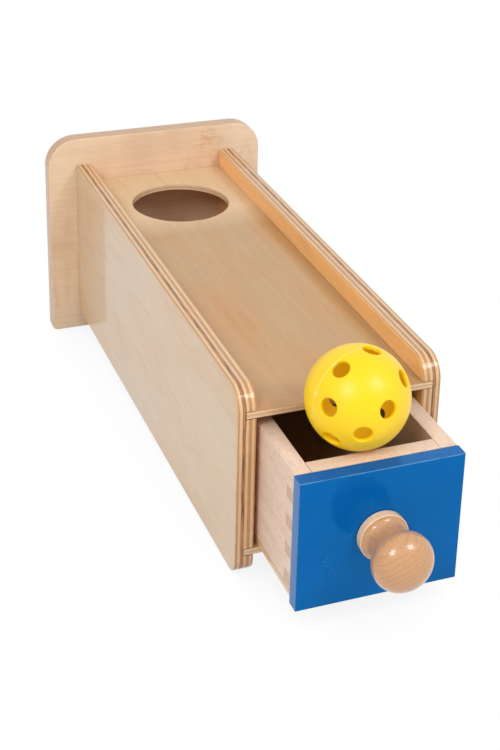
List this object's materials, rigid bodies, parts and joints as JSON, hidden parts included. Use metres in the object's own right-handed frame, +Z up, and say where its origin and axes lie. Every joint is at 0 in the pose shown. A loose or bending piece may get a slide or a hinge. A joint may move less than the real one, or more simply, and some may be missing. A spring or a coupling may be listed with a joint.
{
  "type": "wooden ball-drop drawer box",
  "caption": "Long plywood toy box on a slope, with a round hole in its sunken top, a beech drawer with a blue front and turned knob, and a perforated ball.",
  "frame": {"origin": "middle of the footprint on the floor, with the drawer part open and the ball resting on it", "axes": "+X to the right seen from the front, +Y from the drawer's knob to the back plate, +Z up; the box slopes 2.4 degrees down to the front as it stands"},
  "size_m": [0.129, 0.3624, 0.1207],
  "materials": {
    "birch_plywood": "clear satin lacquer",
    "thin_plywood": "clear satin lacquer",
    "beech": "clear satin lacquer",
    "turned_beech": "clear gloss lacquer",
    "blue_lacquer": "opaque blue gloss lacquer",
    "zinc_steel": "zinc plated",
    "yellow_plastic": "semi-gloss moulded"
  },
  "bodies": {
    "carcass": {"left_side": "birch_plywood", "right_side": "birch_plywood", "back_plate": "birch_plywood", "top_panel": "thin_plywood", "bottom_panel": "thin_plywood", "dowel_left_lower": "beech", "dowel_left_upper": "beech", "dowel_right_lower": "beech", "dowel_right_upper": "beech"},
    "drawer": {"drawer_left_wall": "beech", "drawer_right_wall": "beech", "drawer_front_wall": "beech", "drawer_rear_wall": "beech", "drawer_bottom": "thin_plywood", "drawer_front_panel": "blue_lacquer", "knob": "turned_beech", "knob_screw": "zinc_steel", "front_screw_left": "zinc_steel", "front_screw_right": "zinc_steel"},
    "ball": {"ball": "yellow_plastic"}
  },
  "joints": [
    {"name": "drawer_slide", "type": "slide", "parent": "carcass", "child": "drawer", "axis": [0, -0.9991, -0.0414], "range_m": [-0.0375, 0.127]},
    {"name": "ball_ride", "type": "slide", "parent": "carcass", "child": "ball", "axis": [0, 0.4367, 0.8996], "range_m": [-0.0606, 0.0179]}
  ],
  "couplings": [
    {"joint": "ball_ride", "follows": "drawer_slide", "ratio": -0.476}
  ]
}
